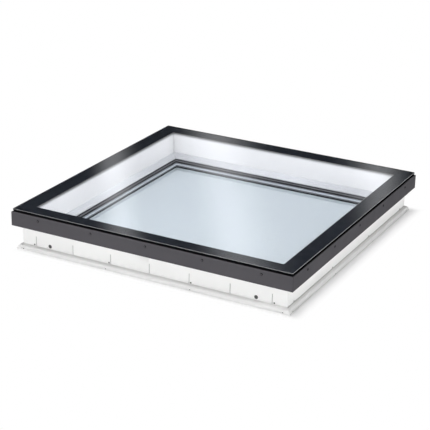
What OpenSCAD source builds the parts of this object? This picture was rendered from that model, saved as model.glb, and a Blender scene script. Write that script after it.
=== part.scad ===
// Fixed flat-roof skylight: a white plastic kerb with a low insulated unit, under a flat glass cover
// with a black border and dark grey aluminium cladding.
// Origin at the middle of the underside, +Z up, front side towards -Y, right side towards +X.
// Sections are drawn in two numbers: inset from the edge of the cover glass (inwards), and height.

/* [Cover glass] */
// Width of the cover glass, along X
cover_w = 1160; // [900:10:1500]
// Length of the cover glass, along Y
cover_l = 1160; // [900:10:1500]
// Thickness of the cover glass
cover_t = 6; // [4:0.5:8]
// Radius of the cover glass's corners, seen from above
cover_r = 4; // [2:0.5:8]
// Width of the black printed border
border_w = 62; // [50:1:80]
// Thickness of the printed layer
print_t = 0.4; // [0.2:0.1:1]
// Thickness of the bonding strip between print and cladding
bond_t = 4.6; // [2:0.1:5]
// Width of the bonding strip
bond_w = 24; // [15:1:30]
// Set-back of the bonding strip from the glass edge
bond_in = 8; // [5:1:15]

/* [Cladding] */
// How far the cladding stands outside the glass edge
clad_proud = 4; // [1:0.5:8]
// Height of the cladding's skirt
clad_h = 56; // [48:1:75]
// Wall of the cladding
clad_t = 1.8; // [1.2:0.1:2.5]
// Radius of the cladding's top outer edge
clad_r = 3; // [3:0.5:6]
// Width of the lip turned in at the skirt's foot
clad_lip_w = 10; // [6:1:16]
// Joint between two cladding lengths at a corner
mitre_gap = 0.5; // [0.2:0.1:1.5]

/* [Cover rail] */
// Height of the hollow rail behind the skirt
rail_h = 38; // [32:1:44]
// Wall of the rail
rail_wall = 2.5; // [2:0.1:3.5]
// Gap between rail and kerb
rail_gap = 4; // [2:0.5:6]
// Length of a corner key's leg
key_leg = 60; // [40:1:70]

/* [Cover screws] */
// Shank diameter of the cover screws
screw_d = 4.2; // [3:0.1:5]
// Head diameter of the cover screws
screw_head_d = 10; // [8:0.5:12]
// Head height of the cover screws
screw_head_h = 2; // [1.5:0.1:3]
// Distance from the cladding's top down to the screws
screw_drop = 16; // [12:0.5:24]
// How far a screw reaches past the kerb's outer wall
screw_tip = 5; // [3:0.5:6]

/* [Kerb] */
// Height of the seat that the cover rests on
kerb_h = 148; // [130:1:200]
// Inset of the kerb's outer wall from the glass edge
kerb_in = 26; // [22:1:32]
// Thickness of the kerb at its top
kerb_d = 40; // [36:1:50]
// How far the inner wall leans in from its top to the beads
kerb_draft = 7; // [3:0.5:12]
// Walls and webs of the kerb
kerb_wall = 3; // [2.5:0.1:3.5]
// Width of the outer air chamber
air_w = 7; // [7:0.5:9]
// Thickness of the upright lip inside the cover's seat
lip_t = 3.5; // [2.5:0.1:5]
// Gap between that lip and the cover
lip_gap = 1.6; // [1:0.1:2]
// Thickness of the seal between kerb and cover
seal_t = 4.2; // [3:0.1:6]
// Width of that seal
seal_w = 20; // [12:1:22]
// Set-back of that seal from the kerb's outer wall
seal_in = 10; // [6:0.5:12]

/* [Foot flange] */
// How far the flange stands outside the kerb's wall
flange_out = 17; // [14:0.5:24]
// Height of the flange where it meets the wall
flange_h = 21; // [18:0.5:26]
// Height of the lip at the flange's edge
foot_lip_h = 4; // [4:0.5:6]
// Width of that lip
foot_lip_w = 1; // [0.5:0.1:2]
// Height and depth of the groove between wall and flange
joint_groove = 1.2; // [0.8:0.1:1.6]

/* [Glazing] */
// Thickness of the ledge that carries the unit
ledge_t = 12; // [10:0.5:14]
// Width of that ledge
ledge_w = 30; // [28:1:36]
// Thickness of the tape on the ledge
tape_t = 2; // [1:0.1:3]
// Width of that tape
tape_w = 15; // [10:1:18]
// Thickness of the inner pane
inner_t = 6; // [4:0.5:8]
// Height of the sealed space between the panes
cavity_t = 12; // [10:0.5:16]
// Thickness of the outer pane
outer_t = 6; // [4:0.5:8]
// Gap all round the insulated unit
unit_gap = 8; // [6:0.5:10]
// Width of the edge seal of the unit
edge_seal_w = 15; // [10:0.5:15.5]
// Width of the spacer bar
spacer_w = 8; // [6:0.5:10]
// Thickness of the primary seal on each side of the spacer
primary_t = 1; // [0.5:0.1:1.5]
// Length of a setting block
block_len = 100; // [60:5:140]
// Height of a setting block
block_h = 20; // [15:1:24]

/* [Beads and gasket] */
// Height of the glazing beads
bead_h = 23.5; // [20:0.5:30]
// Width of the glazing beads
bead_w = 17; // [14:0.5:22]
// Height of the bead's upright nose
bead_nose = 3.5; // [2:0.5:6]
// Height of the gasket between bead and outer pane
gasket_h = 9.5; // [7:0.5:12]
// How far the gasket reaches inwards past the bead
gasket_lip = 9.5; // [6:0.5:12]
// How far the gasket reaches under the bead
gasket_under = 11; // [8:0.5:12]
// Height of the ridge along the gasket's slope
gasket_ridge = 1.4; // [0.8:0.1:2]
// Thickness of the tongue that holds a bead
tongue_t = 4; // [3:0.5:5]
// Length of that tongue
tongue_len = 3.6; // [2.5:0.1:4]

/* [Holes and slots] */
// Diameter of the fixing holes above the flange
fix_d = 6.5; // [4:0.5:6.5]
// Height of those holes' lower edge above the groove
fix_rise = 0.3; // [0.2:0.1:2]
// Diameter of the drain holes at the flange's edge
drain_d = 4; // [2:0.5:4]
// Diameter of the plugged holes in the front wall
plug_d = 15; // [12:0.5:16]
// Height of those holes' lower edge above the groove
plug_rise = 2.5; // [0.5:0.1:4]
// Depth of the plugs' dished front
plug_dish = 1; // [0.5:0.1:1.4]
// Width of the upright slots in the front and back walls
slot_w = 3.6; // [2:0.2:5]
// Height of those slots
slot_h = 39; // [25:1:45]
// Depth of those slots
slot_depth = 0.8; // [0.4:0.1:1.2]
// Width of the slots' foot
slot_foot_w = 8; // [6:0.5:12]
// Height of the slots' foot
slot_foot_h = 3; // [2:0.5:4]

/* [Hidden] */
$fn = 48;
// Clearance round screws, plugs and tongues
fit_clear = 0.15;
// Clearance of pieces that lie in a chamber or rebate
seat_clear = 0.3;
// Gap between the cladding's flange and the kerb's lip
flange_clear = 1;
// How far a cut runs past the faces it cuts
overrun = 1;

// Places along a side, as shares of that side's length
screw_shares = [0.1, 0.3, 0.5, 0.7, 0.9];
fix_shares = [0.0465, 0.345, 0.655, 0.9535];
drain_shares = [0.024, 0.345, 0.655, 0.976];
plug_shares = [0.11, 0.89];
block_shares = [0.2, 0.8];
slot_pitch_share = 0.1487;
slots_each_way = 3;
mid_share = 0.5;

// Heights, from the underside up
z_tape = ledge_t + tape_t;
z_inner = z_tape + inner_t;
z_cavity = z_inner + cavity_t;
z_outer = z_cavity + outer_t;
z_gasket = z_outer + gasket_h;
z_bead = z_gasket + bead_h;
z_seal = kerb_h + seal_t;
z_clad = z_seal + clad_t;
z_bond = z_clad + bond_t;
z_glass = z_bond + print_t;
z_top = z_glass + cover_t;
z_skirt = z_clad - clad_h;
z_rail = z_seal - rail_h;
z_screw = z_clad - screw_drop;
z_lip = z_bond - lip_gap;
z_roof = kerb_h - kerb_wall;
z_tongue = z_gasket + bead_h / 2;
z_fix = flange_h + joint_groove + fix_rise + fix_d / 2;
z_plug = flange_h + joint_groove + plug_rise + plug_d / 2;
z_drain = foot_lip_h + drain_d / 2;

// Insets, from the edge of the cover glass inwards
in_skirt = -clad_proud;
in_rail = in_skirt + clad_t;
in_rail_back = kerb_in - rail_gap;
in_flange = kerb_in - flange_out;
in_air = kerb_in + kerb_wall;
in_core = in_air + air_w + kerb_wall;
in_wall_top = kerb_in + kerb_d;
in_lip = in_wall_top - lip_t;
in_rebate = in_wall_top + kerb_draft;
in_ledge = in_rebate + ledge_w;
in_unit = in_rebate + unit_gap;
in_spacer = in_unit + edge_seal_w;
in_sight = in_spacer + spacer_w;
in_bead = in_rebate + bead_w;
in_gasket = in_bead + gasket_lip;
in_tongue = in_rebate - tongue_len;
in_groove = in_tongue - seat_clear;
in_core_top = in_wall_top - kerb_wall;
in_core_foot = in_groove - kerb_wall;

wall_w = cover_w - 2 * kerb_in;
wall_l = cover_l - 2 * kerb_in;
flange_w = cover_w - 2 * in_flange;
flange_l = cover_l - 2 * in_flange;
screw_reach = in_air + screw_tip - in_skirt;
screw_hole_d = screw_d + 2 * fit_clear;
curve_steps = 8;

// Sides are numbered anticlockwise from the front: 0 front, 1 right, 2 back, 3 left.
function across_x(side) = side % 2 == 0;
function span(side) = across_x(side) ? cover_w : cover_l;
function depth(side) = across_x(side) ? cover_l : cover_w;
function wall_span(side) = across_x(side) ? wall_w : wall_l;
function flange_span(side) = across_x(side) ? flange_w : flange_l;

// Quarter of an oval from straight above its centre to straight outside it
function quarter(centre, out, up) = [for (i = [0 : curve_steps])
    let (turn = 90 * i / curve_steps)
    [centre[0] - out * sin(turn), centre[1] + up * cos(turn)]];
function reversed(points) = [for (i = [len(points) - 1 : -1 : 0]) points[i]];

// Puts a side's pieces in place: X runs along the side, Y inwards from the glass edge.
module on_side(side) {
    rotate(90 * side) translate([0, -depth(side) / 2, 0]) children();
}

// Draws a section along the whole of a side and cuts both ends to a mitre.
module mitred_length(side, gap = 0) {
    half = span(side) / 2;
    out = clad_proud + overrun;
    deep = in_ledge + overrun;
    cut = gap / sqrt(2);
    on_side(side) intersection() {
        translate([-half - out, 0, 0]) rotate([90, 0, 90]) linear_extrude(2 * (half + out)) children();
        translate([0, 0, -overrun]) linear_extrude(z_top + 2 * overrun)
            polygon([[cut - half - out, -out], [half + out - cut, -out],
                [half - deep - cut, deep], [cut + deep - half, deep]]);
    }
}

module plate(inset, low, high) {
    translate([inset - cover_w / 2, inset - cover_l / 2, low])
        cube([cover_w - 2 * inset, cover_l - 2 * inset, high - low]);
}

module ring(inset, inner_inset, low, high) {
    difference() {
        plate(inset, low, high);
        plate(inner_inset, low - overrun, high + overrun);
    }
}

// Glass sheet with rounded corners
module rounded_plate(inset, radius, low, high) {
    half_w = cover_w / 2 - inset;
    half_l = cover_l / 2 - inset;
    translate([0, 0, low]) linear_extrude(high - low) {
        square([2 * (half_w - radius), 2 * half_l], center = true);
        square([2 * half_w, 2 * (half_l - radius)], center = true);
        for (x = [-1, 1], y = [-1, 1])
            translate([x * (half_w - radius), y * (half_l - radius)]) circle(radius);
    }
}

// Round holes in a row along a side, bored inwards
module hole_row(side, length, shares, diameter, height, from, to) {
    for (share = shares)
        on_side(side) translate([(share - mid_share) * length, from, height])
            rotate([-90, 0, 0]) cylinder(d = diameter, h = to - from);
}

module screw_holes(side) {
    hole_row(side, span(side), screw_shares, screw_hole_d, z_screw, in_skirt - overrun, in_air + overrun);
}

// Solid whose four sides all follow one edge, given as points of inset and height from its foot up
module stack(edge) {
    function section(width) = concat([for (p = edge) [width / 2 - p[0], p[1]]],
        [for (p = reversed(edge)) [p[0] - width / 2, p[1]]]);
    intersection() {
        rotate([90, 0, 0]) linear_extrude(cover_l + 2 * flange_out, center = true) polygon(section(cover_w));
        rotate([90, 0, 90]) linear_extrude(cover_w + 2 * flange_out, center = true) polygon(section(cover_l));
    }
}

// Outside of the kerb: flange, joint groove, outer wall, seat for the cover and upright lip
module kerb_outside() {
    stack(concat([[in_flange, 0], [in_flange, foot_lip_h]],
        reversed(quarter([kerb_in, foot_lip_h], flange_out - foot_lip_w, flange_h - foot_lip_h)),
        [[kerb_in + joint_groove, flange_h], [kerb_in + joint_groove, flange_h + joint_groove],
        [kerb_in, flange_h + joint_groove], [kerb_in, kerb_h], [in_lip, kerb_h], [in_lip, z_lip]]));
}

// Space inside the kerb: light well, rebate with the beads' groove, leaning inner wall
module kerb_inside() {
    half_groove = tongue_t / 2 + fit_clear;
    stack([[in_ledge, -overrun], [in_ledge, ledge_t], [in_rebate, ledge_t],
        [in_rebate, z_tongue - half_groove], [in_groove, z_tongue - half_groove],
        [in_groove, z_tongue + half_groove], [in_rebate, z_tongue + half_groove],
        [in_rebate, z_bead], [in_wall_top, z_lip], [in_wall_top, z_lip + overrun]]);
}

// Chambers of the hollow section: insulated core, outer air chamber, foot and ledge
module kerb_chambers() {
    foot_top = flange_h - kerb_wall;
    difference() {
        plate(in_core, flange_h, z_roof);
        stack([[in_core_foot, flange_h - overrun], [in_core_foot, flange_h],
            [in_core_top, z_roof], [in_core_top, z_roof + overrun]]);
    }
    ring(in_air, in_air + air_w, flange_h, z_roof);
    difference() {
        stack(concat([[in_flange + foot_lip_w + kerb_wall, kerb_wall]],
            reversed(quarter([kerb_in, foot_lip_h], flange_out - foot_lip_w - kerb_wall, foot_top - foot_lip_h))));
        plate(in_core_foot, kerb_wall - overrun, foot_top + overrun);
    }
    ring(in_rebate, in_ledge - kerb_wall, kerb_wall, ledge_t - kerb_wall);
}

module wall_slots(side) {
    for (step = [-slots_each_way : slots_each_way])
        on_side(side) translate([step * slot_pitch_share * wall_span(side), kerb_in, flange_h]) {
            translate([-slot_w / 2, -overrun, 0]) cube([slot_w, slot_depth + overrun, slot_h]);
            translate([-slot_foot_w / 2, -overrun, 0])
                cube([slot_foot_w, slot_depth + overrun, slot_foot_h]);
        }
}

module base_frame() {
    color("white") difference() {
        kerb_outside();
        kerb_inside();
        kerb_chambers();
        for (side = [0 : 3]) {
            screw_holes(side);
            hole_row(side, wall_span(side), fix_shares, fix_d, z_fix, kerb_in - overrun, in_air + overrun);
            hole_row(side, flange_span(side), drain_shares, drain_d, z_drain,
                in_flange - overrun, in_flange + foot_lip_w + kerb_wall + overrun);
        }
        hole_row(0, wall_w, plug_shares, plug_d, z_plug, kerb_in - overrun, in_air + overrun);
        for (side = [0, 2]) wall_slots(side);
    }
}

// Foam that stands on the floor of the core chamber, clear of its other walls
module insulation(side) {
    color("lightgray") mitred_length(side)
        polygon([[in_core + seat_clear, flange_h], [in_core + seat_clear, z_roof - seat_clear],
            [in_core_top - seat_clear, z_roof - seat_clear], [in_core_foot - seat_clear, flange_h]]);
}

module glazing_tape() {
    color("dimgray") ring(in_ledge - tape_w, in_ledge, ledge_t, z_tape);
}

module setting_blocks() {
    color("darkslategray") for (side = [0 : 3], share = block_shares)
        on_side(side) translate([(share - mid_share) * span(side) - block_len / 2, in_rebate, ledge_t])
            cube([block_len, unit_gap - seat_clear, block_h]);
}

module inner_pane() {
    color("lightblue", 0.4) plate(in_unit, z_tape, z_inner);
}

module edge_seal() {
    color("black") ring(in_unit, in_spacer, z_inner, z_cavity);
}

module spacer_frame() {
    color("dimgray") ring(in_spacer, in_sight, z_inner + primary_t, z_cavity - primary_t);
}

module primary_seal() {
    color("silver") {
        ring(in_spacer, in_sight, z_inner, z_inner + primary_t);
        ring(in_spacer, in_sight, z_cavity - primary_t, z_cavity);
    }
}

module outer_pane() {
    color("lightblue", 0.4) plate(in_unit, z_cavity, z_outer);
}

// Gasket ring with a ridge half way down its slope
module glazing_gasket() {
    ridge_in = in_bead + gasket_lip / 2;
    ridge_z = z_outer + gasket_h / 2;
    color("dimgray") difference() {
        plate(in_bead - gasket_under, z_outer, z_gasket);
        stack([[in_gasket, z_outer - overrun], [in_gasket, z_outer],
            [ridge_in + gasket_ridge, ridge_z - gasket_ridge], [ridge_in + gasket_ridge, ridge_z + gasket_ridge],
            [ridge_in - gasket_ridge, ridge_z + gasket_ridge],
            [in_bead, z_gasket], [in_bead, z_gasket + overrun]]);
    }
}

// Bead: chamfered top, upright nose and a tongue pressed into the kerb's groove
module bead_section() {
    polygon([[in_rebate, z_gasket], [in_bead, z_gasket], [in_bead, z_gasket + bead_nose], [in_rebate, z_bead],
        [in_rebate, z_tongue + tongue_t / 2], [in_tongue, z_tongue + tongue_t / 2],
        [in_tongue, z_tongue - tongue_t / 2], [in_rebate, z_tongue - tongue_t / 2]]);
}

module bead(side) {
    color("whitesmoke") mitred_length(side) bead_section();
}

module cover_seal() {
    color("black") ring(kerb_in + seal_in, kerb_in + seal_in + seal_w, kerb_h, z_seal);
}

// Hollow rail whose upper outer edge follows the bend inside the cladding
module rail_section() {
    bend = clad_r - clad_t;
    difference() {
        polygon(concat([[in_rail_back, z_seal]], quarter([in_rail + bend, z_seal - bend], bend, bend),
            [[in_rail, z_rail], [in_rail_back, z_rail]]));
        translate([in_rail + rail_wall, z_rail + rail_wall])
            square([in_rail_back - in_rail - 2 * rail_wall, rail_h - 2 * rail_wall]);
    }
}

module rail(side) {
    color("gainsboro") difference() {
        mitred_length(side) rail_section();
        screw_holes(side);
    }
}

// Angle pieces that join the hollow rails at the corners
module corner_keys() {
    gap = rail_wall + seat_clear;
    color("silver") intersection() {
        ring(in_rail + gap, in_rail_back - gap, z_rail + rail_wall, z_seal - gap);
        for (x = [-1, 1], y = [-1, 1])
            translate([x * (cover_w - key_leg) / 2, y * (cover_l - key_leg) / 2, z_rail])
                linear_extrude(rail_h) square(key_leg + 2 * clad_proud, center = true);
    }
}

// Cladding: skirt with a rounded top edge, flange under the glass and a lip turned in at the foot
module cladding_section() {
    flange_end = in_lip - flange_clear;
    outer = [in_skirt + clad_r, z_clad - clad_r];
    inner_r = clad_r - clad_t;
    polygon(concat([[flange_end, z_clad]], quarter(outer, clad_r, clad_r),
        [[in_skirt, z_skirt], [in_skirt + clad_lip_w, z_skirt], [in_skirt + clad_lip_w, z_skirt + clad_t],
        [in_rail, z_skirt + clad_t]], reversed(quarter(outer, inner_r, inner_r)), [[flange_end, z_seal]]));
}

module cladding(side) {
    color("dimgray") difference() {
        mitred_length(side, mitre_gap) cladding_section();
        screw_holes(side);
    }
}

// Pan-head screw pointing inwards from the skirt, with a crossed recess
module cover_screw() {
    recess_w = screw_head_h / 2;
    recess_len = screw_head_d * mid_share;
    rotate([-90, 0, 0]) {
        cylinder(d = screw_d, h = screw_reach);
        difference() {
            translate([0, 0, -screw_head_h]) cylinder(d1 = screw_head_d - screw_head_h, d2 = screw_head_d,
                h = screw_head_h);
            for (turn = [0, 90])
                rotate(turn) translate([-recess_len / 2, -recess_w / 2, -screw_head_h - overrun])
                    cube([recess_len, recess_w, recess_w + overrun]);
        }
    }
}

module cover_screws() {
    color("black") for (side = [0 : 3], share = screw_shares)
        on_side(side) translate([(share - mid_share) * span(side), in_skirt, z_screw]) cover_screw();
}

module glass_bond() {
    color("black") ring(bond_in, bond_in + bond_w, z_clad, z_bond);
}

module border_print() {
    color("black") difference() {
        rounded_plate(0, cover_r, z_bond, z_glass);
        plate(border_w, z_bond - overrun, z_glass + overrun);
    }
}

module cover_glass() {
    color("lightblue", 0.4) rounded_plate(0, cover_r, z_glass, z_top);
}

// Dished plug set back in its hole, held by a collar behind the wall
module blanking_plugs() {
    body_d = plug_d - 2 * fit_clear;
    collar = kerb_wall / 2;
    color("black") for (share = plug_shares)
        on_side(0) translate([(share - mid_share) * wall_w, kerb_in, z_plug]) rotate([-90, 0, 0])
            difference() {
                union() {
                    translate([0, 0, plug_dish / 2]) cylinder(d = body_d, h = kerb_wall + collar - plug_dish / 2);
                    translate([0, 0, kerb_wall]) cylinder(d = plug_d + collar, h = collar);
                }
                translate([0, 0, plug_dish / 2 - overrun])
                    cylinder(d = body_d - kerb_wall, h = plug_dish + overrun);
            }
}

base_frame();
insulation(0);  // insulation_front
insulation(1);  // insulation_right
insulation(2);  // insulation_back
insulation(3);  // insulation_left
glazing_tape();
setting_blocks();
inner_pane();
edge_seal();
spacer_frame();
primary_seal();
outer_pane();
glazing_gasket();
bead(0);  // bead_front
bead(1);  // bead_right
bead(2);  // bead_back
bead(3);  // bead_left
cover_seal();
rail(0);  // rail_front
rail(1);  // rail_right
rail(2);  // rail_back
rail(3);  // rail_left
corner_keys();
cladding(0);  // cladding_front
cladding(1);  // cladding_right
cladding(2);  // cladding_back
cladding(3);  // cladding_left
cover_screws();
glass_bond();
border_print();
cover_glass();
blanking_plugs();
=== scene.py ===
# %% [markdown]
# # A flat-roof skylight
# The real object is a white plastic kerb that is screwed to a roof, with a sealed double-glazed unit low in
# its well and a flat sheet of cover glass on top. A dark grey metal skirt hides the joint between the two.
# Its solids come from the CAD model as a fixed frame. This lesson dresses them: it models the pieces whose
# small shapes matter to the light, gives every surface a finish, and sets up the studio.

# %% Load the frame
import math

import bmesh
import bpy
from mathutils import Matrix, Vector


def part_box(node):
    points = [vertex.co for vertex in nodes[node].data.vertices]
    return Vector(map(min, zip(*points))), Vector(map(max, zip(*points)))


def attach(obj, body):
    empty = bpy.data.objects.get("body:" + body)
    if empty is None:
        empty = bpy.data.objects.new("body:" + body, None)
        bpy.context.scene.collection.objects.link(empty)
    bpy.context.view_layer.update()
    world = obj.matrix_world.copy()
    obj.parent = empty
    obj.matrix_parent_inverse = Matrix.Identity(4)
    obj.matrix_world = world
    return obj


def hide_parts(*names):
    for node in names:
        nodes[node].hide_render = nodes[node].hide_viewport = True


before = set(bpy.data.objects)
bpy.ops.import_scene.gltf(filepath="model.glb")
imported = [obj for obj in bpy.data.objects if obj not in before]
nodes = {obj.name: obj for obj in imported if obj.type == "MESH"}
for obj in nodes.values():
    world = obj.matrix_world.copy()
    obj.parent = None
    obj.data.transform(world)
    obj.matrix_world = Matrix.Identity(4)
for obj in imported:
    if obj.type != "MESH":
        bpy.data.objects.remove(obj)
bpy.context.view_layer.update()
MM = 0.001

# %% [markdown]
# ## The camera
# The photograph was taken from the front right, a little above the cover, with a long lens that keeps the
# sides nearly parallel. The camera could be placed by eye, but the corners of the glass, skirt and foot are
# sharp in the picture, so its place, angle and focal length were solved from them.

# %% Camera
CAMERA_PLACE = (2.3258, -4.4524, 2.0860)
AZIMUTH, ELEVATION, ROLL = 27.873, 21.991, 1.160
LENS, SENSOR = 115.25, 36


def turn_camera(azimuth, elevation, roll):
    """The turn of a camera that looks at the object from these angles, in degrees."""
    a, e, r = (math.radians(angle) for angle in (azimuth, elevation, roll))
    back = Vector((math.sin(a) * math.cos(e), -math.cos(a) * math.cos(e), math.sin(e)))
    right = (-back).cross(Vector((0, 0, 1))).normalized()
    up = right.cross(-back)
    rolled_right = math.cos(r) * right + math.sin(r) * up
    rolled_up = math.cos(r) * up - math.sin(r) * right
    return Matrix((rolled_right, rolled_up, back)).transposed().to_4x4()


bpy.ops.object.select_all(action="DESELECT")
bpy.ops.object.camera_add()
camera = bpy.context.object
camera.name = "photo_camera"
camera.data.sensor_width = SENSOR
camera.data.lens = LENS
camera.matrix_world = Matrix.Translation(CAMERA_PLACE) @ turn_camera(AZIMUTH, ELEVATION, ROLL)
bpy.context.scene.camera = camera
bpy.context.scene.view_settings.view_transform = "Standard"
print("camera at", [round(v, 3) for v in camera.location], "lens", camera.data.lens)

# %% [markdown]
# ## The studio
# Worlds and materials are both made of nodes here. Four small helpers keep that short: one adds a Math node,
# one makes a soft-edged mask, and two join masks into one.

# %% Node helpers
def math_node(tree, operation, *inputs, clamp=False):
    """Adds a Math node. An input is a number or another node's socket."""
    node = tree.nodes.new("ShaderNodeMath")
    node.operation = operation
    node.use_clamp = clamp
    for socket, value in zip(node.inputs, inputs):
        if isinstance(value, (int, float)):
            socket.default_value = value
        else:
            tree.links.new(value, socket)
    return node.outputs[0]


def ramp(tree, value, start, end):
    """A mask that climbs from 0 to 1 as the value goes from start to end. End may be the lower one."""
    node = tree.nodes.new("ShaderNodeMapRange")
    node.interpolation_type = "SMOOTHSTEP"
    node.inputs["From Min"].default_value = start
    node.inputs["From Max"].default_value = end
    tree.links.new(value, node.inputs["Value"])
    return node.outputs[0]


def all_of(tree, first, *masks):
    """The product of some masks. All but the first may be numbers."""
    for mask in masks:
        first = math_node(tree, "MULTIPLY", first, mask)
    return first


def any_of(tree, first, *masks):
    """The largest of some masks."""
    for mask in masks:
        first = math_node(tree, "MAXIMUM", first, mask)
    return first


print("node helpers ready")

# %% [markdown]
# The picture has a white ground with a faint soft shadow, and the black border of the glass mirrors a dim
# room with a few tall soft boxes. Lamps could stand for those boxes, but a world that shows them only to
# mirrored rays keeps the light on the object even. To the camera the world is plain white.
#
# The boxes are a wave round the horizon, leaning and uneven, that fades out near the floor and overhead. A
# ray that is mirrored at the underside of the cover glass leaves it unbent, as the glass step below explains,
# so it climbs too steeply. All rays that steep get the climb that bending would have left them.

# %% World: how steeply a ray climbs
COVER_IOR = 1.5
LEAST_UNBENT = math.sqrt(1 - 1 / COVER_IOR ** 2)

world = bpy.data.worlds.new("studio")
bpy.context.scene.world = world
world.use_nodes = True
tree = world.node_tree
tree.nodes.clear()
direction = tree.nodes.new("ShaderNodeSeparateXYZ")
tree.links.new(tree.nodes.new("ShaderNodeTexCoord").outputs["Generated"], direction.inputs[0])
turn = math_node(tree, "ARCTAN2", direction.outputs[0], direction.outputs[1])
steep = direction.outputs[2]
squared = math_node(tree, "MULTIPLY", steep, steep)
bent = math_node(tree, "MULTIPLY_ADD", squared, COVER_IOR ** 2, 1 - COVER_IOR ** 2, clamp=True)
less = math_node(tree, "SUBTRACT", math_node(tree, "SQRT", bent), steep)
unbent = math_node(tree, "GREATER_THAN", steep, LEAST_UNBENT)
climb = math_node(tree, "MULTIPLY_ADD", less, unbent, steep)
print("world: unbent rays climb by more than", round(LEAST_UNBENT, 3))

# %% World: the soft boxes
BOXES_ROUND, BOX_LEAN, BOX_PHASE, BOX_SHARPNESS = 71, -12.7, 7.41, 3.0
UNEVEN_ROUND, UNEVEN_PHASE, UNEVEN_SHIFT = 20.0, 4.01, 1.3
BOX_FOOT, BOX_TOP = (0.06, 0.3), (0.75, 0.5)
DARK_TURN, DARK_EDGE = -0.651, (0.035, 0.07)
BOX_GLOW, ROOM_GLOW = 0.575, 0.012

lean = math_node(tree, "MULTIPLY_ADD", climb, BOX_LEAN, BOX_PHASE)
uneven = math_node(tree, "COSINE", math_node(tree, "MULTIPLY_ADD", turn, UNEVEN_ROUND, UNEVEN_PHASE))
phase = math_node(tree, "ADD", lean, math_node(tree, "MULTIPLY_ADD", uneven, UNEVEN_SHIFT, -UNEVEN_SHIFT))
wave = math_node(tree, "COSINE", math_node(tree, "MULTIPLY_ADD", turn, BOXES_ROUND, phase))
boxes = math_node(tree, "POWER", math_node(tree, "MULTIPLY_ADD", wave, 0.5, 0.5), BOX_SHARPNESS)
from_dark = math_node(tree, "ABSOLUTE", math_node(tree, "SUBTRACT", turn, DARK_TURN))
glow = all_of(tree, boxes, ramp(tree, climb, *BOX_FOOT), ramp(tree, climb, *BOX_TOP),
              ramp(tree, from_dark, *DARK_EDGE))
mirrored = math_node(tree, "MULTIPLY_ADD", glow, BOX_GLOW, ROOM_GLOW)
print("world: soft boxes round the horizon", BOXES_ROUND)

# %% World: what each ray sees
AMBIENT = 0.1
rays = tree.nodes.new("ShaderNodeLightPath")
seen = any_of(tree, rays.outputs["Is Camera Ray"], rays.outputs["Is Transmission Ray"])
plain = math_node(tree, "MULTIPLY_ADD", seen, 1 - AMBIENT, AMBIENT)
pick = tree.nodes.new("ShaderNodeMix")
tree.links.new(rays.outputs["Is Glossy Ray"], pick.inputs["Factor"])
tree.links.new(plain, pick.inputs["A"])
tree.links.new(mirrored, pick.inputs["B"])
sky = tree.nodes.new("ShaderNodeBackground")
tree.links.new(pick.outputs[0], sky.inputs["Strength"])
tree.links.new(sky.outputs[0], tree.nodes.new("ShaderNodeOutputWorld").inputs["Surface"])
print("world: ambient", AMBIENT)

# %% [markdown]
# Three large soft lamps light the object. One low at the front makes the front of the kerb a little brighter
# than the right side, one at the right fills that side, and one overhead reaches down into the well. A wide,
# weak sun from the left lays the soft shadow on the right. One big lamp would be simpler, but it can't set
# the front, the side and the well apart. No lamp is mirrored, because the world's soft boxes are.

# %% Lamps
SOFT_LAMPS = {  # place, width and watts
    "front_lamp": ((-0.8, -6.0, 1.2), 3.0, 138),
    "right_lamp": ((6.0, -1.0, 2.4), 3.0, 168),
    "top_lamp": ((-0.05, -0.3, 3.2), 2.0, 94),
}
SUN_PLACE, SUN_STRENGTH, SUN_SPREAD = (-1.2, 0.0, 3.0), 0.75, 50


def add_lamp(kind, name, place, energy):
    """Adds a lamp that faces the object and isn't mirrored in it."""
    bpy.ops.object.select_all(action="DESELECT")
    bpy.ops.object.light_add(type=kind, location=place)
    lamp = bpy.context.object
    lamp.name = name
    lamp.data.energy = energy
    lamp.rotation_euler = (-lamp.location).to_track_quat("-Z", "Y").to_euler()
    lamp.visible_glossy = False
    print(name, energy)
    return lamp.data


for name, (place, width, watts) in SOFT_LAMPS.items():
    lamp = add_lamp("AREA", name, place, watts)
    lamp.shape = "DISK"
    lamp.size = width
add_lamp("SUN", "sky_lamp", SUN_PLACE, SUN_STRENGTH).angle = math.radians(SUN_SPREAD)

# %% [markdown]
# The floor is one wide pale sheet. Lit paint alone would come out grey, so part of what the camera sees of
# it is plain white: some of it close to the object, where the lit rest keeps the shadow, and all of it a few
# centimetres away. The shadow falls to the right and the back, so there the white starts a little later.

# %% Floor
FLOOR_R, FLOOR_SIDES, FLOOR_DROP, FLOOR_TONE = 40, 64, 0.5 * MM, 0.92
SHADOW_SIDE = (0.02, 0.008)
WHITE_RAMP, WHITE_SHARE = (0.553, 0.608), 0.32


def object_xyz(tree):
    """Sockets with a point's place along X, Y and Z."""
    place = tree.nodes.new("ShaderNodeTexCoord")
    split = tree.nodes.new("ShaderNodeSeparateXYZ")
    tree.links.new(place.outputs["Object"], split.inputs[0])
    return split.outputs


bpy.ops.object.select_all(action="DESELECT")
bpy.ops.mesh.primitive_circle_add(vertices=FLOOR_SIDES, radius=FLOOR_R, fill_type="NGON",
                                  location=(0, 0, -FLOOR_DROP))
floor = bpy.context.object
floor.name = "studio_floor"
paint = bpy.data.materials.new("studio_floor")
paint.use_nodes = True
tree = paint.node_tree
tree.nodes.clear()
lit = tree.nodes.new("ShaderNodeBsdfDiffuse")
lit.inputs["Color"].default_value = (FLOOR_TONE, FLOOR_TONE, FLOOR_TONE, 1)
white = tree.nodes.new("ShaderNodeEmission")
rays = tree.nodes.new("ShaderNodeLightPath")
seen = any_of(tree, rays.outputs["Is Camera Ray"], rays.outputs["Is Transmission Ray"])
reach = [math_node(tree, "ABSOLUTE", math_node(tree, "SUBTRACT", along, shift))
         for along, shift in zip(object_xyz(tree), SHADOW_SIDE)]
away = ramp(tree, any_of(tree, *reach), *WHITE_RAMP)
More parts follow.
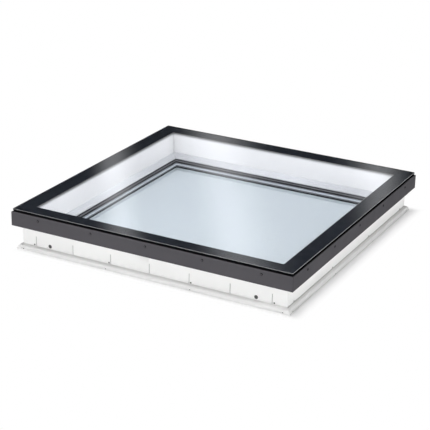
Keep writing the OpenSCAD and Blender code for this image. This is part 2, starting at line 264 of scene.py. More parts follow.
whiter = math_node(tree, "MULTIPLY_ADD", away, 1 - WHITE_SHARE, WHITE_SHARE)
blend = tree.nodes.new("ShaderNodeMixShader")
tree.links.new(all_of(tree, seen, whiter), blend.inputs[0])
tree.links.new(lit.outputs[0], blend.inputs[1])
tree.links.new(white.outputs[0], blend.inputs[2])
tree.links.new(blend.outputs[0], tree.nodes.new("ShaderNodeOutputMaterial").inputs["Surface"])
floor.data.materials.append(paint)
print("floor:", floor.name)

# %% [markdown]
# ## Effects that several finishes share
# Moulded plastic, powder coat and rubber all show a fine grain and a slow drift of tone. Each is a small
# node group that puts out numbers only, so that every material can use it at its own scale.

# %% Grain and drift groups
GRAIN, GRAIN_DETAIL = 900.0, 3
DRIFT, DRIFT_DETAIL, DRIFT_SPAN = 6.0, 2, (0.3, 0.7)


def new_group(name, inputs, output):
    """Makes a node group with these number sockets, and gives its tree, its inputs and its output."""
    group = bpy.data.node_groups.new(name, "ShaderNodeTree")
    for socket, value in inputs.items():
        made = group.interface.new_socket(socket, in_out="INPUT", socket_type="NodeSocketFloat")
        made.default_value = value
    group.interface.new_socket(output, in_out="OUTPUT", socket_type="NodeSocketFloat")
    given = group.nodes.new("NodeGroupInput").outputs
    return group, given, group.nodes.new("NodeGroupOutput").inputs[output]


def noise_in(group, scale, detail):
    """Adds noise on Object coordinates to a group, and gives its value."""
    place = group.nodes.new("ShaderNodeTexCoord")
    noise = group.nodes.new("ShaderNodeTexNoise")
    noise.inputs["Detail"].default_value = detail
    group.links.new(place.outputs["Object"], noise.inputs["Vector"])
    group.links.new(scale, noise.inputs["Scale"])
    return noise.outputs["Fac"]


grain_group, given, result = new_group("fine_grain", {"Scale": GRAIN}, "Height")
grain_group.links.new(noise_in(grain_group, given["Scale"], GRAIN_DETAIL), result)

drift_group, given, result = new_group("tone_drift", {"Scale": DRIFT, "Low": 0.0, "High": 1.0}, "Tone")
spread = drift_group.nodes.new("ShaderNodeMapRange")
spread.inputs["From Min"].default_value, spread.inputs["From Max"].default_value = DRIFT_SPAN
drift_group.links.new(noise_in(drift_group, given["Scale"], DRIFT_DETAIL), spread.inputs["Value"])
drift_group.links.new(given["Low"], spread.inputs["To Min"])
drift_group.links.new(given["High"], spread.inputs["To Max"])
drift_group.links.new(spread.outputs[0], result)
print("groups:", grain_group.name, drift_group.name)

# %% [markdown]
# The kerb, the beads and the skirt are lengths that meet at 45 degrees, with a fine line at each corner. The
# line could be modelled, but it is under a millimetre wide, so a mask along the diagonals, where the two
# distances from the middle are equal, does it. A wider one makes a soft shade at the corners.

# %% Corner line group
LINE_W = 0.6 * MM
corner_group, given, result = new_group("corner_line", {"Width": LINE_W}, "Line")
x, y = (math_node(corner_group, "ABSOLUTE", along) for along in object_xyz(corner_group)[:2])
off = math_node(corner_group, "ABSOLUTE", math_node(corner_group, "SUBTRACT", x, y))
near = math_node(corner_group, "DIVIDE", off, given["Width"])
corner_group.links.new(math_node(corner_group, "SUBTRACT", 1.0, near, clamp=True), result)
print("group:", corner_group.name)

# %% [markdown]
# Everything here is a square ring, so two numbers say where a point lies: its inset from the cover's edge and
# its height. Masks made from them can paint shade into a hole or light onto a strip. They could be painted by
# hand, but then they wouldn't follow the solids.

# %% Ring masks
HALF_COVER = 580.0


def ring_place(tree):
    """Sockets with a point's inset from the cover's edge and its height, both in mm."""
    x, y, z = object_xyz(tree)
    out = any_of(tree, math_node(tree, "ABSOLUTE", x), math_node(tree, "ABSOLUTE", y))
    inset = math_node(tree, "MULTIPLY_ADD", out, -1 / MM, HALF_COVER)
    return inset, math_node(tree, "MULTIPLY", z, 1 / MM)


def on_sides(tree):
    """A mask that is 1 on the left and right sides and 0 at the front and back."""
    x, y = (math_node(tree, "ABSOLUTE", along) for along in object_xyz(tree)[:2])
    return math_node(tree, "GREATER_THAN", x, y)


print("ring masks read inset and height in mm, cover half-width", HALF_COVER)

# %% [markdown]
# ## The finishes
# Every finish is one Principled shader. Its colour drifts a little between two close tones, its roughness
# drifts too, and the grain lifts the surface by a few hundredths of a millimetre. Layers are masks that mix
# in another tone. What is the same all over is set on the shader itself.

# %% Material helpers
def place_group(tree, group, **values):
    """Puts a node group in a material with its own values, and gives its output."""
    node = tree.nodes.new("ShaderNodeGroup")
    node.node_tree = group
    for name, value in values.items():
        node.inputs[name].default_value = value
    return node.outputs[0]


def mixed(tree, factor, colour, tone):
    """Mixes a tone into a colour by a mask. The colour is a tone or a socket."""
    mix = tree.nodes.new("ShaderNodeMix")
    mix.data_type = "RGBA"
    mix.inputs["B"].default_value = (*tone, 1)
    tree.links.new(factor, mix.inputs["Factor"])
    if isinstance(colour, (tuple, list)):
        mix.inputs["A"].default_value = (*colour, 1)
    else:
        tree.links.new(colour, mix.inputs["A"])
    return mix.outputs["Result"]


def new_material(name):
    """Makes a material, and gives it with its tree and its Principled shader."""
    material = bpy.data.materials.new(name)
    material.use_nodes = True
    return material, material.node_tree, material.node_tree.nodes["Principled BSDF"]


print("material helpers ready")

# %% Finish maker
GRAIN_DEPTH, POLISH_FINER = 0.02 * MM, 5
LINE_DARKER, LINE_DEPTH = 0.6, 3.0


def finish(name, tone, other_tone, rough, grain=GRAIN, depth=GRAIN_DEPTH, drift=DRIFT,
           corner=0, layers=(), **sockets):
    """Makes a grained, drifting finish. Rough is a pair: the lowest and highest roughness."""
    material, tree, shader = new_material(name)
    colour = mixed(tree, place_group(tree, drift_group, Scale=drift), tone, other_tone)
    polish = place_group(tree, drift_group, Scale=drift * POLISH_FINER, Low=rough[0], High=rough[1])
    tree.links.new(polish, shader.inputs["Roughness"])
    height = place_group(tree, grain_group, Scale=grain)
    if corner:
        line = place_group(tree, corner_group, Width=corner)
        colour = mixed(tree, all_of(tree, line, LINE_DARKER), colour, [c * LINE_DARKER for c in tone])
        height = math_node(tree, "SUBTRACT", height, all_of(tree, line, LINE_DEPTH))
    for mask, mask_tone in layers:
        colour = mixed(tree, mask(tree), colour, mask_tone)
    tree.links.new(colour, shader.inputs["Base Color"])
    bump = tree.nodes.new("ShaderNodeBump")
    bump.inputs["Distance"].default_value = depth
    tree.links.new(height, bump.inputs["Height"])
    tree.links.new(bump.outputs[0], shader.inputs["Normal"])
    for socket, value in sockets.items():
        shader.inputs[socket.replace("_", " ")].default_value = value
    return material


def wear(material, *names):
    """Gives these CAD nodes a finish."""
    for name in names:
        for holder in nodes[name].material_slots:
            holder.material = material
    print(material.name, "on", ", ".join(names))


print("finish maker ready")

# %% [markdown]
# The kerb is white plastic, extruded and slightly satin. Its slots and holes look nearly black in the
# photograph, darker than their shallow shapes would make them, so what lies behind the wall or inside the
# rounded foot gets painted shade. The holes could have a finish of their own, but they are in one solid with
# the walls, and a mask by inset and height finds them all.

# %% Dark holes in the kerb
# A pair says where a mask starts and where it is full: an inset or a height in mm.
# DARK is the tone of painted shade.
DARK = (0.02, 0.02, 0.02)
BEHIND_WALL, ABOVE_GROOVE = (26.1, 27.6), (22.4, 22.7)
BEHIND_GROOVE, ABOVE_FOOT = (27.4, 27.6), (20.6, 20.9)
OUTSIDE_WELL, BELOW_TOP = (65, 64.5), (147.5, 147)
FOOT_INSET, FOOT_LOW, FOOT_REACH, FOOT_RISE = 26, 4, 16, 17
INSIDE_FOOT, OUTER_FOOT, ABOVE_LIP = (0.98, 0.9), (24, 22), (3.6, 4.0)


def kerb_hole_shade(tree, inset, height):
    """Painted shade in the slots, holes and drains, by how far a point lies behind the wall or inside the
    rounded foot.
    """
    in_wall = all_of(tree, ramp(tree, inset, *BEHIND_WALL), ramp(tree, height, *ABOVE_GROOVE))
    in_groove = all_of(tree, ramp(tree, inset, *BEHIND_GROOVE), ramp(tree, height, *ABOVE_FOOT))
    behind = all_of(tree, any_of(tree, in_wall, in_groove),
                    ramp(tree, inset, *OUTSIDE_WELL), ramp(tree, height, *BELOW_TOP))
    across = math_node(tree, "MULTIPLY_ADD", inset, -1 / FOOT_REACH, FOOT_INSET / FOOT_REACH)
    up = math_node(tree, "MULTIPLY_ADD", height, 1 / FOOT_RISE, -FOOT_LOW / FOOT_RISE)
    from_middle = math_node(tree, "MULTIPLY_ADD", across, across, math_node(tree, "MULTIPLY", up, up))
    in_foot = all_of(tree, ramp(tree, from_middle, *INSIDE_FOOT), ramp(tree, inset, *OUTER_FOOT),
                     ramp(tree, height, *ABOVE_LIP))
    return any_of(tree, behind, in_foot)


print("dark behind the wall from", BEHIND_WALL[1], "mm inset")

# %% [markdown]
# More layers match tones that the photograph shows: painted shade in the groove and along the lip of the
# foot, stronger on the sides, painted shade under the cover's edge and in the well's corners, and painted
# light that makes the foot paler. Lamps could make some of these shades, but they would change the rest of
# the kerb too.

# %% Kerb finish
GROOVE_TOP, GROOVE_LOW, GROOVE_IN, GROOVE_SHADE = (24.2, 22.2), (18.6, 20.8), (23, 25.8), 0.36
LIP_TOP, LIP_LOW, LIP_SHADE, LIP_SHADE_SIDES = (5.4, 4.2), (3.2, 3.9), 0.14, 0.36
IN_WELL, WELL_TOP, WELL_SHADE = (60, 62), (144, 157), 0.85
CORNER_REACH, CORNER_FALL, CORNER_SHADE = 0.13, 3.0, 0.2
WELD_W, WELD_SHADE = 0.005, 0.16
FOOT_TOP, FOOT_IN, FOOT_LESS_ON_SIDES = (24.5, 23.5), (40, 36), 0.6


def kerb_painted_shade(tree):
    """Painted shade in the holes, in the groove, along the lip of the foot and at the top of the well."""
    inset, height = ring_place(tree)
    sides = on_sides(tree)
    groove = all_of(tree, ramp(tree, height, *GROOVE_TOP), ramp(tree, height, *GROOVE_LOW),
                    ramp(tree, inset, *GROOVE_IN), sides, GROOVE_SHADE)
    lip = all_of(tree, ramp(tree, height, *LIP_TOP), ramp(tree, height, *LIP_LOW),
                 math_node(tree, "MULTIPLY_ADD", sides, LIP_SHADE_SIDES - LIP_SHADE, LIP_SHADE))
    shade = all_of(tree, ramp(tree, height, *WELL_TOP), ramp(tree, inset, *IN_WELL), WELL_SHADE)
    return any_of(tree, kerb_hole_shade(tree, inset, height), groove, lip, shade)


def well_corner_shade(tree):
    """The weld line, made darker with painted shade, and a soft painted shade at the well's corners."""
    near = place_group(tree, corner_group, Width=CORNER_REACH)
    shade = all_of(tree, math_node(tree, "POWER", near, CORNER_FALL), CORNER_SHADE)
    weld = place_group(tree, corner_group, Width=WELD_W)
    return all_of(tree, math_node(tree, "MULTIPLY_ADD", weld, WELD_SHADE, shade),
                  ramp(tree, ring_place(tree)[0], *IN_WELL))


def painted_foot_light(tree):
    """Painted light on the foot and the groove above it, most at the front and back."""
    inset, height = ring_place(tree)
    share = math_node(tree, "MULTIPLY_ADD", on_sides(tree), -FOOT_LESS_ON_SIDES, 1.0)
    return all_of(tree, ramp(tree, height, *FOOT_TOP), ramp(tree, inset, *FOOT_IN), share)


# The pale layer is painted light on the foot; the other two layers are painted shade.
kerb_white = finish("kerb_white", (0.89, 0.89, 0.883), (0.87, 0.872, 0.866), (0.34, 0.44), 500,
                    corner=0.7 * MM,
                    layers=((painted_foot_light, (0.95, 0.95, 0.943)), (kerb_painted_shade, DARK), (well_corner_shade, DARK)))
wear(kerb_white, "base_frame")

# %% [markdown]
# The beads are white plastic too. Low in the well they look greyer than the kerb, paler at their foot and
# darker towards the corners. Less light in the well would grey them, but the walls above are bright, so the
# beads' grey is painted shade, and two masks shift it: painted light at their foot and painted shade towards
# the corners.

# %% Bead finish
SIDES = ("front", "right", "back", "left")
BEAD_FOOT, BEAD_REACH, BEAD_SHADE = (56, 50), 0.42, 0.24


def bead_foot(tree):
    """The lowest part of the beads, which gets painted light."""
    return ramp(tree, ring_place(tree)[1], *BEAD_FOOT)


def bead_corner(tree):
    """Painted shade on the beads towards the well's corners."""
    return all_of(tree, place_group(tree, corner_group, Width=BEAD_REACH), BEAD_SHADE)


# The grey tone is painted shade on white plastic; the layers paint light at the foot and shade at the
# corners.
bead_white = finish("bead_white", (0.55, 0.56, 0.57), (0.535, 0.545, 0.555), (0.4, 0.5), 600,
                    corner=0.4 * MM, layers=((bead_foot, (0.61, 0.62, 0.63)), (bead_corner, DARK)))
wear(bead_white, *["bead_" + side for side in SIDES])

# %% [markdown]
# The skirt is dark grey powder coat on aluminium, with the fine orange-peel grain that such paint has. In the
# photograph its right side is a little darker than the front. Less light there would darken the kerb below it
# too, so the side lengths get painted shade: the same paint, darker. A black line of shadow runs below the
# glass, so the top of the skirt has painted shadow in black there.

# %% Skirt finish
SKIRT_IN, SKIRT_TOP = (-1.4, -0.6), (150, 152)
SKIRT_TONE, SKIRT_OTHER, SIDE_SHADE = (0.087, 0.084, 0.092), (0.081, 0.078, 0.086), 0.87
GAP_SHADOW = (0.004, 0.004, 0.004)


def under_glass(tree):
    """The part of the skirt's top that lies below the glass, where the painted shadow goes."""
    inset, height = ring_place(tree)
    return all_of(tree, ramp(tree, inset, *SKIRT_IN), ramp(tree, height, *SKIRT_TOP))


def powder_coat(name, shade):
    """The skirt's paint, darkened by a factor of painted shade."""
    tones = [[c * shade for c in tone] for tone in (SKIRT_TONE, SKIRT_OTHER)]
    return finish(name, *tones, (0.65, 0.75), 1400, 0.03 * MM, corner=0.9 * MM,
                  layers=((under_glass, GAP_SHADOW),), Specular_IOR_Level=0.05)


powder_grey = powder_coat("powder_grey", 1.0)
# The side lengths' darker paint is painted shade.
powder_grey_shaded = powder_coat("powder_grey_shaded", SIDE_SHADE)
wear(powder_grey, "cladding_front", "cladding_back")
wear(powder_grey_shaded, "cladding_right", "cladding_left")

# %% [markdown]
# What lies inside hardly shows: plastic rails and setting blocks, bare aluminium corner keys and foam cores.
# They could stay in the CAD model's flat colours, but then the model would look wrong when it is taken apart,
# so they get plain grained finishes.

# %% Hidden finishes
mill_aluminium = finish("mill_aluminium", (0.62, 0.62, 0.63), (0.55, 0.55, 0.56), (0.3, 0.45), 700,
                        Metallic=1.0)
rail_grey = finish("rail_grey", (0.4, 0.4, 0.41), (0.36, 0.36, 0.37), (0.4, 0.5), 500)
foam_grey = finish("foam_grey", (0.55, 0.56, 0.58), (0.45, 0.46, 0.48), (0.8, 0.95), 260, 0.4 * MM)
wear(mill_aluminium, "corner_keys")
wear(rail_grey, "setting_blocks", *["rail_" + side for side in SIDES])
wear(foam_grey, *["insulation_" + side for side in SIDES])

# %% [markdown]
# Seals are matt: black rubber under the cover, pale butyl at the rim of the sealed unit, and a pale spacer
# bar that keeps the two panes apart. The photograph shows a lighter strip along the gasket, which here is
# painted light, and a dark line at the foot of the spacer. They could be pieces of their own, but two masks
# by height are enough.

# %% Seal finishes
STRIP_TOP, STRIP_LOW, SPACER_FOOT = (44.8, 44.0), (40.0, 40.8), (25.6, 24.8)


def gasket_light_strip(tree):
    """The gasket's middle strip, below its upper roll, where light is painted."""
    height = ring_place(tree)[1]
    return all_of(tree, ramp(tree, height, *STRIP_TOP), ramp(tree, height, *STRIP_LOW))


def spacer_foot(tree):
    """The lower part of the spacer."""
    return ramp(tree, ring_place(tree)[1], *SPACER_FOOT)


# The gasket's lighter middle strip is painted light.
rubber = finish("rubber", (0.012, 0.0124, 0.0135), (0.016, 0.0164, 0.0175), (0.55, 0.7), 1200,
                0.03 * MM, 12, layers=((gasket_light_strip, (0.125, 0.127, 0.133)),), Specular_IOR_Level=0.15)
black_rubber = finish("black_rubber", (0.02, 0.02, 0.021), (0.028, 0.028, 0.03), (0.6, 0.75),
                      depth=0.04 * MM)
pale_butyl = finish("pale_butyl", (0.42, 0.43, 0.45), (0.38, 0.39, 0.41), (0.5, 0.65), 500, 0.05 * MM)
spacer_pale = finish("spacer_pale", (0.78, 0.79, 0.81), (0.74, 0.75, 0.77), (0.4, 0.5), 1000,
                     layers=((spacer_foot, (0.17, 0.172, 0.18)),))
wear(black_rubber, "edge_seal", "cover_seal", "glazing_tape")
wear(pale_butyl, "primary_seal")
wear(spacer_pale, "spacer_frame")

# %% [markdown]
# ## Glass
# Clear glass is a Principled shader that transmits all light. A lamp's light can't be traced straight
# through it, so to shadow rays the glass turns into a thin tinted film, and the well below stays lit.
# A ray that one glass face has mirrored meets the same film at the next face. It then still counts as
# mirrored when it gets out, so the lamps stay out of it too, and no lamp shows as a white disc in the cover.

# %% Glass finishes
def clear_glass(name, tint, ior):
    """Makes glass of this tint that lets the lamps reach what lies behind it."""
    material, tree, shader = new_material(name)
    shader.inputs["Base Color"].default_value = (*tint, 1)
    shader.inputs["Roughness"].default_value = 0.0
    shader.inputs["IOR"].default_value = ior
    shader.inputs["Transmission Weight"].default_value = 1.0
    film = tree.nodes.new("ShaderNodeBsdfTransparent")
    film.inputs["Color"].default_value = (*tint, 1)
    rays = tree.nodes.new("ShaderNodeLightPath")
    mirrored = all_of(tree, rays.outputs["Is Reflection Ray"], rays.outputs["Is Singular Ray"])
    blend = tree.nodes.new("ShaderNodeMixShader")
    tree.links.new(any_of(tree, rays.outputs["Is Shadow Ray"], mirrored), blend.inputs[0])
    tree.links.new(shader.outputs[0], blend.inputs[1])
    tree.links.new(film.outputs[0], blend.inputs[2])
    tree.links.new(blend.outputs[0], tree.nodes["Material Output"].inputs["Surface"])
    return material


UNIT_IOR = 1.02  # low, because the photograph shows hardly any mirror image in the lower panes
cover_clear = clear_glass("cover_clear", (0.972, 0.978, 1.0), COVER_IOR)
unit_clear = clear_glass("unit_clear", (0.841, 0.861, 0.869), UNIT_IOR)
ground_edge = finish("ground_edge", (0.4, 0.405, 0.41), (0.35, 0.355, 0.36), (0.45, 0.6), 1500, 0.04 * MM)
edge_black = finish("edge_black", (0.004, 0.004, 0.005), (0.006, 0.006, 0.007), (0.5, 0.6), 1500,
                    Specular_IOR_Level=0.0)
enamel = finish("enamel", (0.005, 0.0068, 0.0098), (0.006, 0.0078, 0.0108), (0.5, 0.6), 2500, 0.01 * MM,
                Specular_IOR_Level=0.08)
wear(edge_black, "glass_bond")
print("glass:", cover_clear.name, unit_clear.name)

# %% [markdown]
# ### The cover glass
# It is one flat sheet, 6 mm thick, with small rounded corners and ground edges. A box would do from far
# away, but a real sheet has its sharp edges taken off, and that thin bevel catches a line of light. So the
# box's upright edges are rounded and its rims bevelled. The bevel on top is ground and pale, and the sides
# are black, as they look in the photograph.

# %% Shaping helpers
SAME_PLACE = 1e-6
FACING = 0.99  # how much of a face's normal has to lie along an axis for the face to look that way


def slab(name, low, high):
    """Adds a box between two corners, with its place in its mesh."""
    bpy.ops.object.select_all(action="DESELECT")
    bpy.ops.mesh.primitive_cube_add(size=1, location=[(a + b) / 2 for a, b in zip(low, high)])
    piece = bpy.context.object
    piece.name = name
    piece.scale = [b - a for a, b in zip(low, high)]
    bpy.ops.object.transform_apply(location=True, rotation=True, scale=True)
    return piece


def choose(piece, kind, test):
    """Selects, in edit mode, the edges or faces that pass the test."""
    if piece.mode != "EDIT":
        bpy.ops.object.mode_set(mode="EDIT")
    bpy.ops.mesh.select_mode(type=kind)
    bpy.ops.mesh.select_all(action="DESELECT")
    mesh = bmesh.from_edit_mesh(piece.data)
    for part in (mesh.edges if kind == "EDGE" else mesh.faces):
        part.select_set(test(part))
    bmesh.update_edit_mesh(piece.data)


def upright(edge):
    """True for an edge that runs along Z."""
    a, b = edge.verts[0].co, edge.verts[1].co
    return (a - b).xy.length < SAME_PLACE


def rim(edge):
    """True for an edge between a level face and an upright one."""
    slopes = [abs(face.normal.z) for face in edge.link_faces]
    return max(slopes) > FACING and min(slopes) < 1 - FACING


print("shaping helpers ready")

# %% Finishing helpers
def paint_faces(piece, materials, pick):
    """Gives a piece these materials, and each face the one whose number pick tells."""
    for material in materials:
        piece.data.materials.append(material)
    for face in piece.data.polygons:
        face.material_index = pick(face)


def done(piece, material, node):
    """Finishes a new piece: out of edit mode, its finish, its body and the node it stands for."""
    bpy.ops.object.mode_set(mode="OBJECT")
    if material:
        piece.data.materials.append(material)
    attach(piece, "root")
    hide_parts(node)
    print(piece.name, len(piece.data.polygons), "faces")


print("finishing helpers ready")

# %% Cover glass
CORNER_R, CORNER_STEPS = 4 * MM, 6
ARRIS, ARRIS_STEPS, LOOKS_UP = 0.8 * MM, 2, 0.2
glass_low, glass_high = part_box("cover_glass")
cover = slab("cover_sheet", glass_low, glass_high)
choose(cover, "EDGE", upright)
bpy.ops.mesh.bevel(offset=CORNER_R, segments=CORNER_STEPS)
choose(cover, "EDGE", rim)
bpy.ops.mesh.bevel(offset=ARRIS, segments=ARRIS_STEPS)
bpy.ops.object.mode_set(mode="OBJECT")
paint_faces(cover, (cover_clear, ground_edge, edge_black),
            lambda f: 0 if abs(f.normal.z) > FACING else 1 if f.normal.z > LOOKS_UP else 2)
done(cover, None, "cover_glass")

# %% [markdown]
# ### The black border
# It is enamel baked onto the underside of the glass. Part of the sheet could be painted black, but the CAD
# model has the print as a piece of its own, so it is a thin frame here. Two faces in one place confuse the
# renderer, so its top lies a hair below the glass. It hardly shines: what it mirrors is seen on the glass.

# %% Border enamel
BORDER_W = 62 * MM
SUNK = 0.05 * MM
print_low, print_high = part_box("border_print")
inset_in = Vector((ARRIS, ARRIS, 0))
border = slab("border_enamel", print_low + inset_in, print_high - inset_in - Vector((0, 0, SUNK)))
choose(border, "FACE", lambda f: abs(f.normal.z) > FACING)
bpy.ops.mesh.inset(thickness=BORDER_W - ARRIS, use_individual=True)
bpy.ops.mesh.bridge_edge_loops()
choose(border, "EDGE", lambda e: upright(e) and abs(e.verts[0].co.x) > print_high.x - 2 * ARRIS)
bpy.ops.mesh.bevel(offset=CORNER_R, segments=CORNER_STEPS)
done(border, enamel, "border_print")

# %% [markdown]
# ### The sealed unit
# Two panes stand apart on a spacer. The CAD solids could stay, but their faces touch the seals, and their
# edges are sharp. So each pane is modelled a few hundredths of a millimetre thinner than the solid, with its
# edges taken off as a cutter does.

# %% Panes
for node in ("outer_pane", "inner_pane"):
    low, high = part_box(node)
    thinner = Vector((0, 0, SUNK))
    pane = slab(node + "_sheet", low + thinner, high - thinner)
    choose(pane, "EDGE", lambda e: True)
    bpy.ops.mesh.bevel(offset=ARRIS / 2, segments=1)
    done(pane, unit_clear, node)

# %% [markdown]
# ### The kerb
# Its lengths are extruded, so the foot is one smooth curve, and the welded corners are scraped round. The CAD
# solid has flat strips and sharp corners there. Its section could be built again from insets, but the slots
# and holes are in the solid already. So a copy, which brings the kerb's finish along, is welded into one
# skin. Its four upright corners are bevelled, and the shading runs smoothly over the foot, except low down,
# where the drain holes cut the strips.

# %% Kerb
KERB_CORNER_R, KERB_CORNER_STEPS = 2.0 * MM, 4
WELD_GAP, FLAT_WITHIN, SMOOTH_WITHIN = 0.002 * MM, 0.5, 25
DRAINS_END, WALL_FROM, NEAR = 8.5 * MM, 100 * MM, 0.01 * MM
bpy.ops.object.select_all(action="DESELECT")
kerb = nodes["base_frame"].copy()
kerb.data = nodes["base_frame"].data.copy()
kerb.name = "kerb_skin"
bpy.context.collection.objects.link(kerb)
kerb.select_set(True)
bpy.context.view_layer.objects.active = kerb
wall_at = max(abs(v.co.x) for v in kerb.data.vertices if v.co.z > WALL_FROM)
choose(kerb, "EDGE", lambda e: True)
bpy.ops.mesh.remove_doubles(threshold=WELD_GAP)
bpy.ops.mesh.dissolve_limited(angle_limit=math.radians(FLAT_WITHIN))
choose(kerb, "EDGE", lambda e: upright(e) and all(abs(abs(c) - wall_at) < NEAR for c in e.verts[0].co.xy))
bpy.ops.mesh.bevel(offset=KERB_CORNER_R, segments=KERB_CORNER_STEPS)
done(kerb, None, "base_frame")
bpy.ops.object.shade_smooth_by_angle(angle=math.radians(SMOOTH_WITHIN))
for face in kerb.data.polygons:
    face.use_smooth = face.use_smooth and face.center.z > DRAINS_END

# %% [markdown]
# ### Glazing gasket
# A rubber gasket closes the joint between beads and pane. It slopes down to the glass in two soft rolls. A
# swept curve would need corners of its own, while insetting a square face again and again gives the mitred
# corners at once: each step goes inwards by an inset and down by a move.

# %% Gasket
GASKET_SMOOTH, ROLL_STEPS = 40, 7


def push(x, y, z):
    """Extrudes what is selected along a step."""
    bpy.ops.mesh.extrude_region_move(TRANSFORM_OT_translate={"value": (x, y, z)})


def frame_by_insets(name, points):
    """Makes a mitred frame from its section: points of inset from the cover's edge and height, in mm."""
    edge, height = points[0][0] * MM, points[0][1] * MM
    half = Vector((glass_high.x - edge, glass_high.y - edge, 0))
    bpy.ops.object.select_all(action="DESELECT")
    bpy.ops.mesh.primitive_plane_add(size=2, location=(0, 0, height))
    piece = bpy.context.object
    piece.name = name
    piece.scale = (half.x, half.y, 1)
    bpy.ops.object.transform_apply(location=True, rotation=True, scale=True)
    choose(piece, "FACE", lambda f: True)
    for (inset, low), (next_inset, next_low) in zip(points, points[1:]):
        if abs(next_inset - inset) < SAME_PLACE:
            push(0, 0, (next_low - low) * MM)
        else:
            bpy.ops.mesh.inset(thickness=(next_inset - inset) * MM)
            bpy.ops.transform.translate(value=(0, 0, (next_low - low) * MM))
    choose(piece, "FACE", lambda f: f.calc_area() > half.x * half.y)
    bpy.ops.mesh.delete(type="ONLY_FACE")
    choose(piece, "EDGE", lambda e: e.is_boundary)
    bpy.ops.mesh.bridge_edge_loops()
    bpy.ops.mesh.select_all(action="SELECT")
    bpy.ops.mesh.normals_make_consistent(inside=False)
    return piece


def roll(centre, radius, first, last):
    """Points of an arc in a section, from one angle to another, in degrees from straight up inwards."""
    angles = [math.radians(first + (last - first) * i / ROLL_STEPS) for i in range(ROLL_STEPS + 1)]
    return [(centre[0] + radius * math.sin(a), centre[1] + radius * math.cos(a)) for a in angles]


# Inset and height in mm: the back and top, the upper roll, the lower roll and the tip on the glass.
gasket_points = [(79.0, 38.05), (79.0, 47.4), (90.05, 47.4)]
gasket_points += roll((91.0, 45.2), 2.0, 0, 88)
gasket_points += roll((94.3, 42.4), 2.1, -20, 100)
gasket_points += [(97.4, 40.6), (98.8, 39.0), (99.3, 38.05)]
gasket = frame_by_insets("gasket_run", gasket_points)
done(gasket, rubber, "glazing_gasket")
bpy.ops.object.shade_smooth_by_angle(angle=math.radians(GASKET_SMOOTH))

# %% [markdown]
# ### Cover screws
# Twenty pan-head screws hold the skirt to the kerb. Whole screws could be made, but only the heads show, so
# one head is modelled: a short cylinder whose rim is rounded and whose face has a round socket. It is copied
# along each side. In the photograph each head is a dark ring of shade, so its rim has painted shade in black
# and its flat faces have the skirt's grey.

# %% One screw head
HEAD_R, HEAD_H, SOCKET_R, STUB = 5.0 * MM, 2.0 * MM, 2.0 * MM, 6 * MM
HEAD_ROUND, SOCKET_DEPTH, HEAD_SMOOTH = HEAD_H * 0.7, HEAD_H * 0.6, 35
HEAD_SIDES, HEAD_STEPS = 36, 5


def screw_head(name):
    """A pan head that stands on z = 0 with its socket upwards, and a short stub of shank below."""
    bpy.ops.object.select_all(action="DESELECT")
    bpy.ops.mesh.primitive_cylinder_add(vertices=HEAD_SIDES, radius=HEAD_R, depth=HEAD_H,
                                        location=(0, 0, HEAD_H / 2))
    head = bpy.context.object
    head.name = name
    bpy.ops.object.transform_apply(location=True, rotation=True, scale=True)
    choose(head, "EDGE", lambda e: rim(e) and e.verts[0].co.z > HEAD_H / 2)
    bpy.ops.mesh.bevel(offset=HEAD_ROUND, segments=HEAD_STEPS)
    choose(head, "FACE", lambda f: f.normal.z > FACING)
    bpy.ops.mesh.inset(thickness=HEAD_R - HEAD_ROUND - SOCKET_R)
    push(0, 0, -SOCKET_DEPTH)
    choose(head, "FACE", lambda f: f.normal.z < -FACING)
    bpy.ops.mesh.inset(thickness=HEAD_R / 2)
    push(0, 0, -STUB)
    bpy.ops.object.mode_set(mode="OBJECT")
    bpy.ops.object.shade_smooth_by_angle(angle=math.radians(HEAD_SMOOTH))
    return head


heads = [screw_head("cover_screw_heads")]
model_head = heads[0].data
print("one head:", len(model_head.polygons), "faces")

# %% All the screw heads
SCREW_SHARES = (0.1, 0.3, 0.5, 0.7, 0.9)
FLAT_HEAD = 0.999


def join(pieces):
    """Joins pieces into the first of them."""
    bpy.ops.object.select_all(action="DESELECT")
    for piece in pieces:
        piece.select_set(True)
    bpy.context.view_layer.objects.active = pieces[0]
    bpy.ops.object.join()
    return pieces[0]


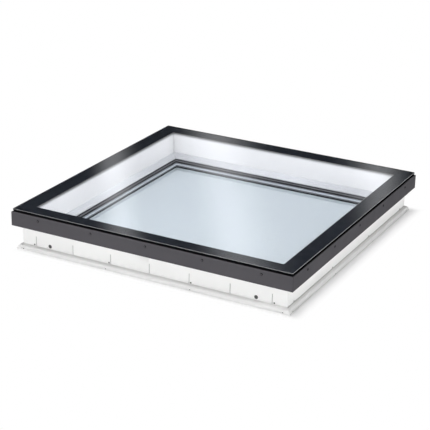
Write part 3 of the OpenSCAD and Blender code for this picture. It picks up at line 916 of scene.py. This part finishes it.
screw_low, screw_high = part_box("cover_screws")
skirt_y = screw_high.y - HEAD_H
screw_z = (screw_low.z + screw_high.z) / 2
meshes = []
for side in range(4):
    for share in SCREW_SHARES:
        along = (share - 0.5) * (glass_high.x - glass_low.x)
        place = Matrix.Rotation(side * math.pi / 2, 4, "Z") @ Matrix.Translation((along, -skirt_y, screw_z))
        meshes.append(model_head.copy())
        meshes[-1].transform(place @ Matrix.Rotation(math.pi / 2, 4, "X"))
heads[0].data = meshes[0]
for mesh in meshes[1:]:
    heads.append(bpy.data.objects.new("screw_copy", mesh))
    bpy.context.collection.objects.link(heads[-1])
screws = join(heads)
# The black on the rims is painted shade.
screw_rim_shade = finish("screw_rim_shade", (0.006, 0.006, 0.007), (0.009, 0.009, 0.01), (0.5, 0.6), 1500,
                     Specular_IOR_Level=0.1)
paint_faces(screws, (screw_rim_shade, powder_grey),
            lambda f: 1 if max(abs(f.normal.x), abs(f.normal.y)) > FLAT_HEAD else 0)
done(screws, None, "cover_screws")

# %% [markdown]
# ### Blanking plugs
# Two dark plugs close the large holes in the front wall. Each is a dished cap, smaller than its hole, so the
# hole still shows round it. A turned section would do, but a cylinder whose face is inset and pushed back is
# shorter. The floor of the dish is lighter than its rim, as in the photograph.

# %% Plugs
COLLAR, PLUG_RIM, PLUG_DISH, PLUG_DEPTH, PLUG_SIDES = 0.9 * MM, 1.4 * MM, 0.9 * MM, 3.6 * MM, 32
black_plastic = finish("black_plastic", (0.02, 0.02, 0.022), (0.03, 0.03, 0.033), (0.35, 0.5), 800)
plug_pale = finish("plug_pale", (0.07, 0.07, 0.069), (0.06, 0.06, 0.059), (0.4, 0.5), 800)
plug_low, plug_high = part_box("blanking_plugs")
collar_r = (plug_high.z - plug_low.z) / 2
plug_z = (plug_high.z + plug_low.z) / 2
plugs = []
for x in (plug_low.x + collar_r, plug_high.x - collar_r):
    bpy.ops.object.select_all(action="DESELECT")
    bpy.ops.mesh.primitive_cylinder_add(vertices=PLUG_SIDES, radius=collar_r - COLLAR, depth=PLUG_DEPTH,
                                        rotation=(math.pi / 2, 0, 0),
                                        location=(x, plug_low.y + PLUG_DEPTH / 2, plug_z))
    plug = bpy.context.object
    plug.name = "plug_caps"
    bpy.ops.object.transform_apply(location=True, rotation=True, scale=True)
    choose(plug, "FACE", lambda f: f.normal.y < -FACING)
    for step in (PLUG_DISH, -PLUG_DISH / 2):
        bpy.ops.mesh.inset(thickness=PLUG_RIM)
        push(0, step, 0)
    bpy.ops.object.mode_set(mode="OBJECT")
    paint_faces(plug, (black_plastic, plug_pale),
                lambda f: 1 if f.normal.y < -FACING and f.center.y > plug_low.y + PLUG_DISH / 4 else 0)
    plugs.append(plug)
done(join(plugs), None, "blanking_plugs")

# %% [markdown]
# ## Sizes and the end
# The dressed model has to stay inside the CAD model's box.

# %% Finish
bpy.ops.object.select_all(action="DESELECT")
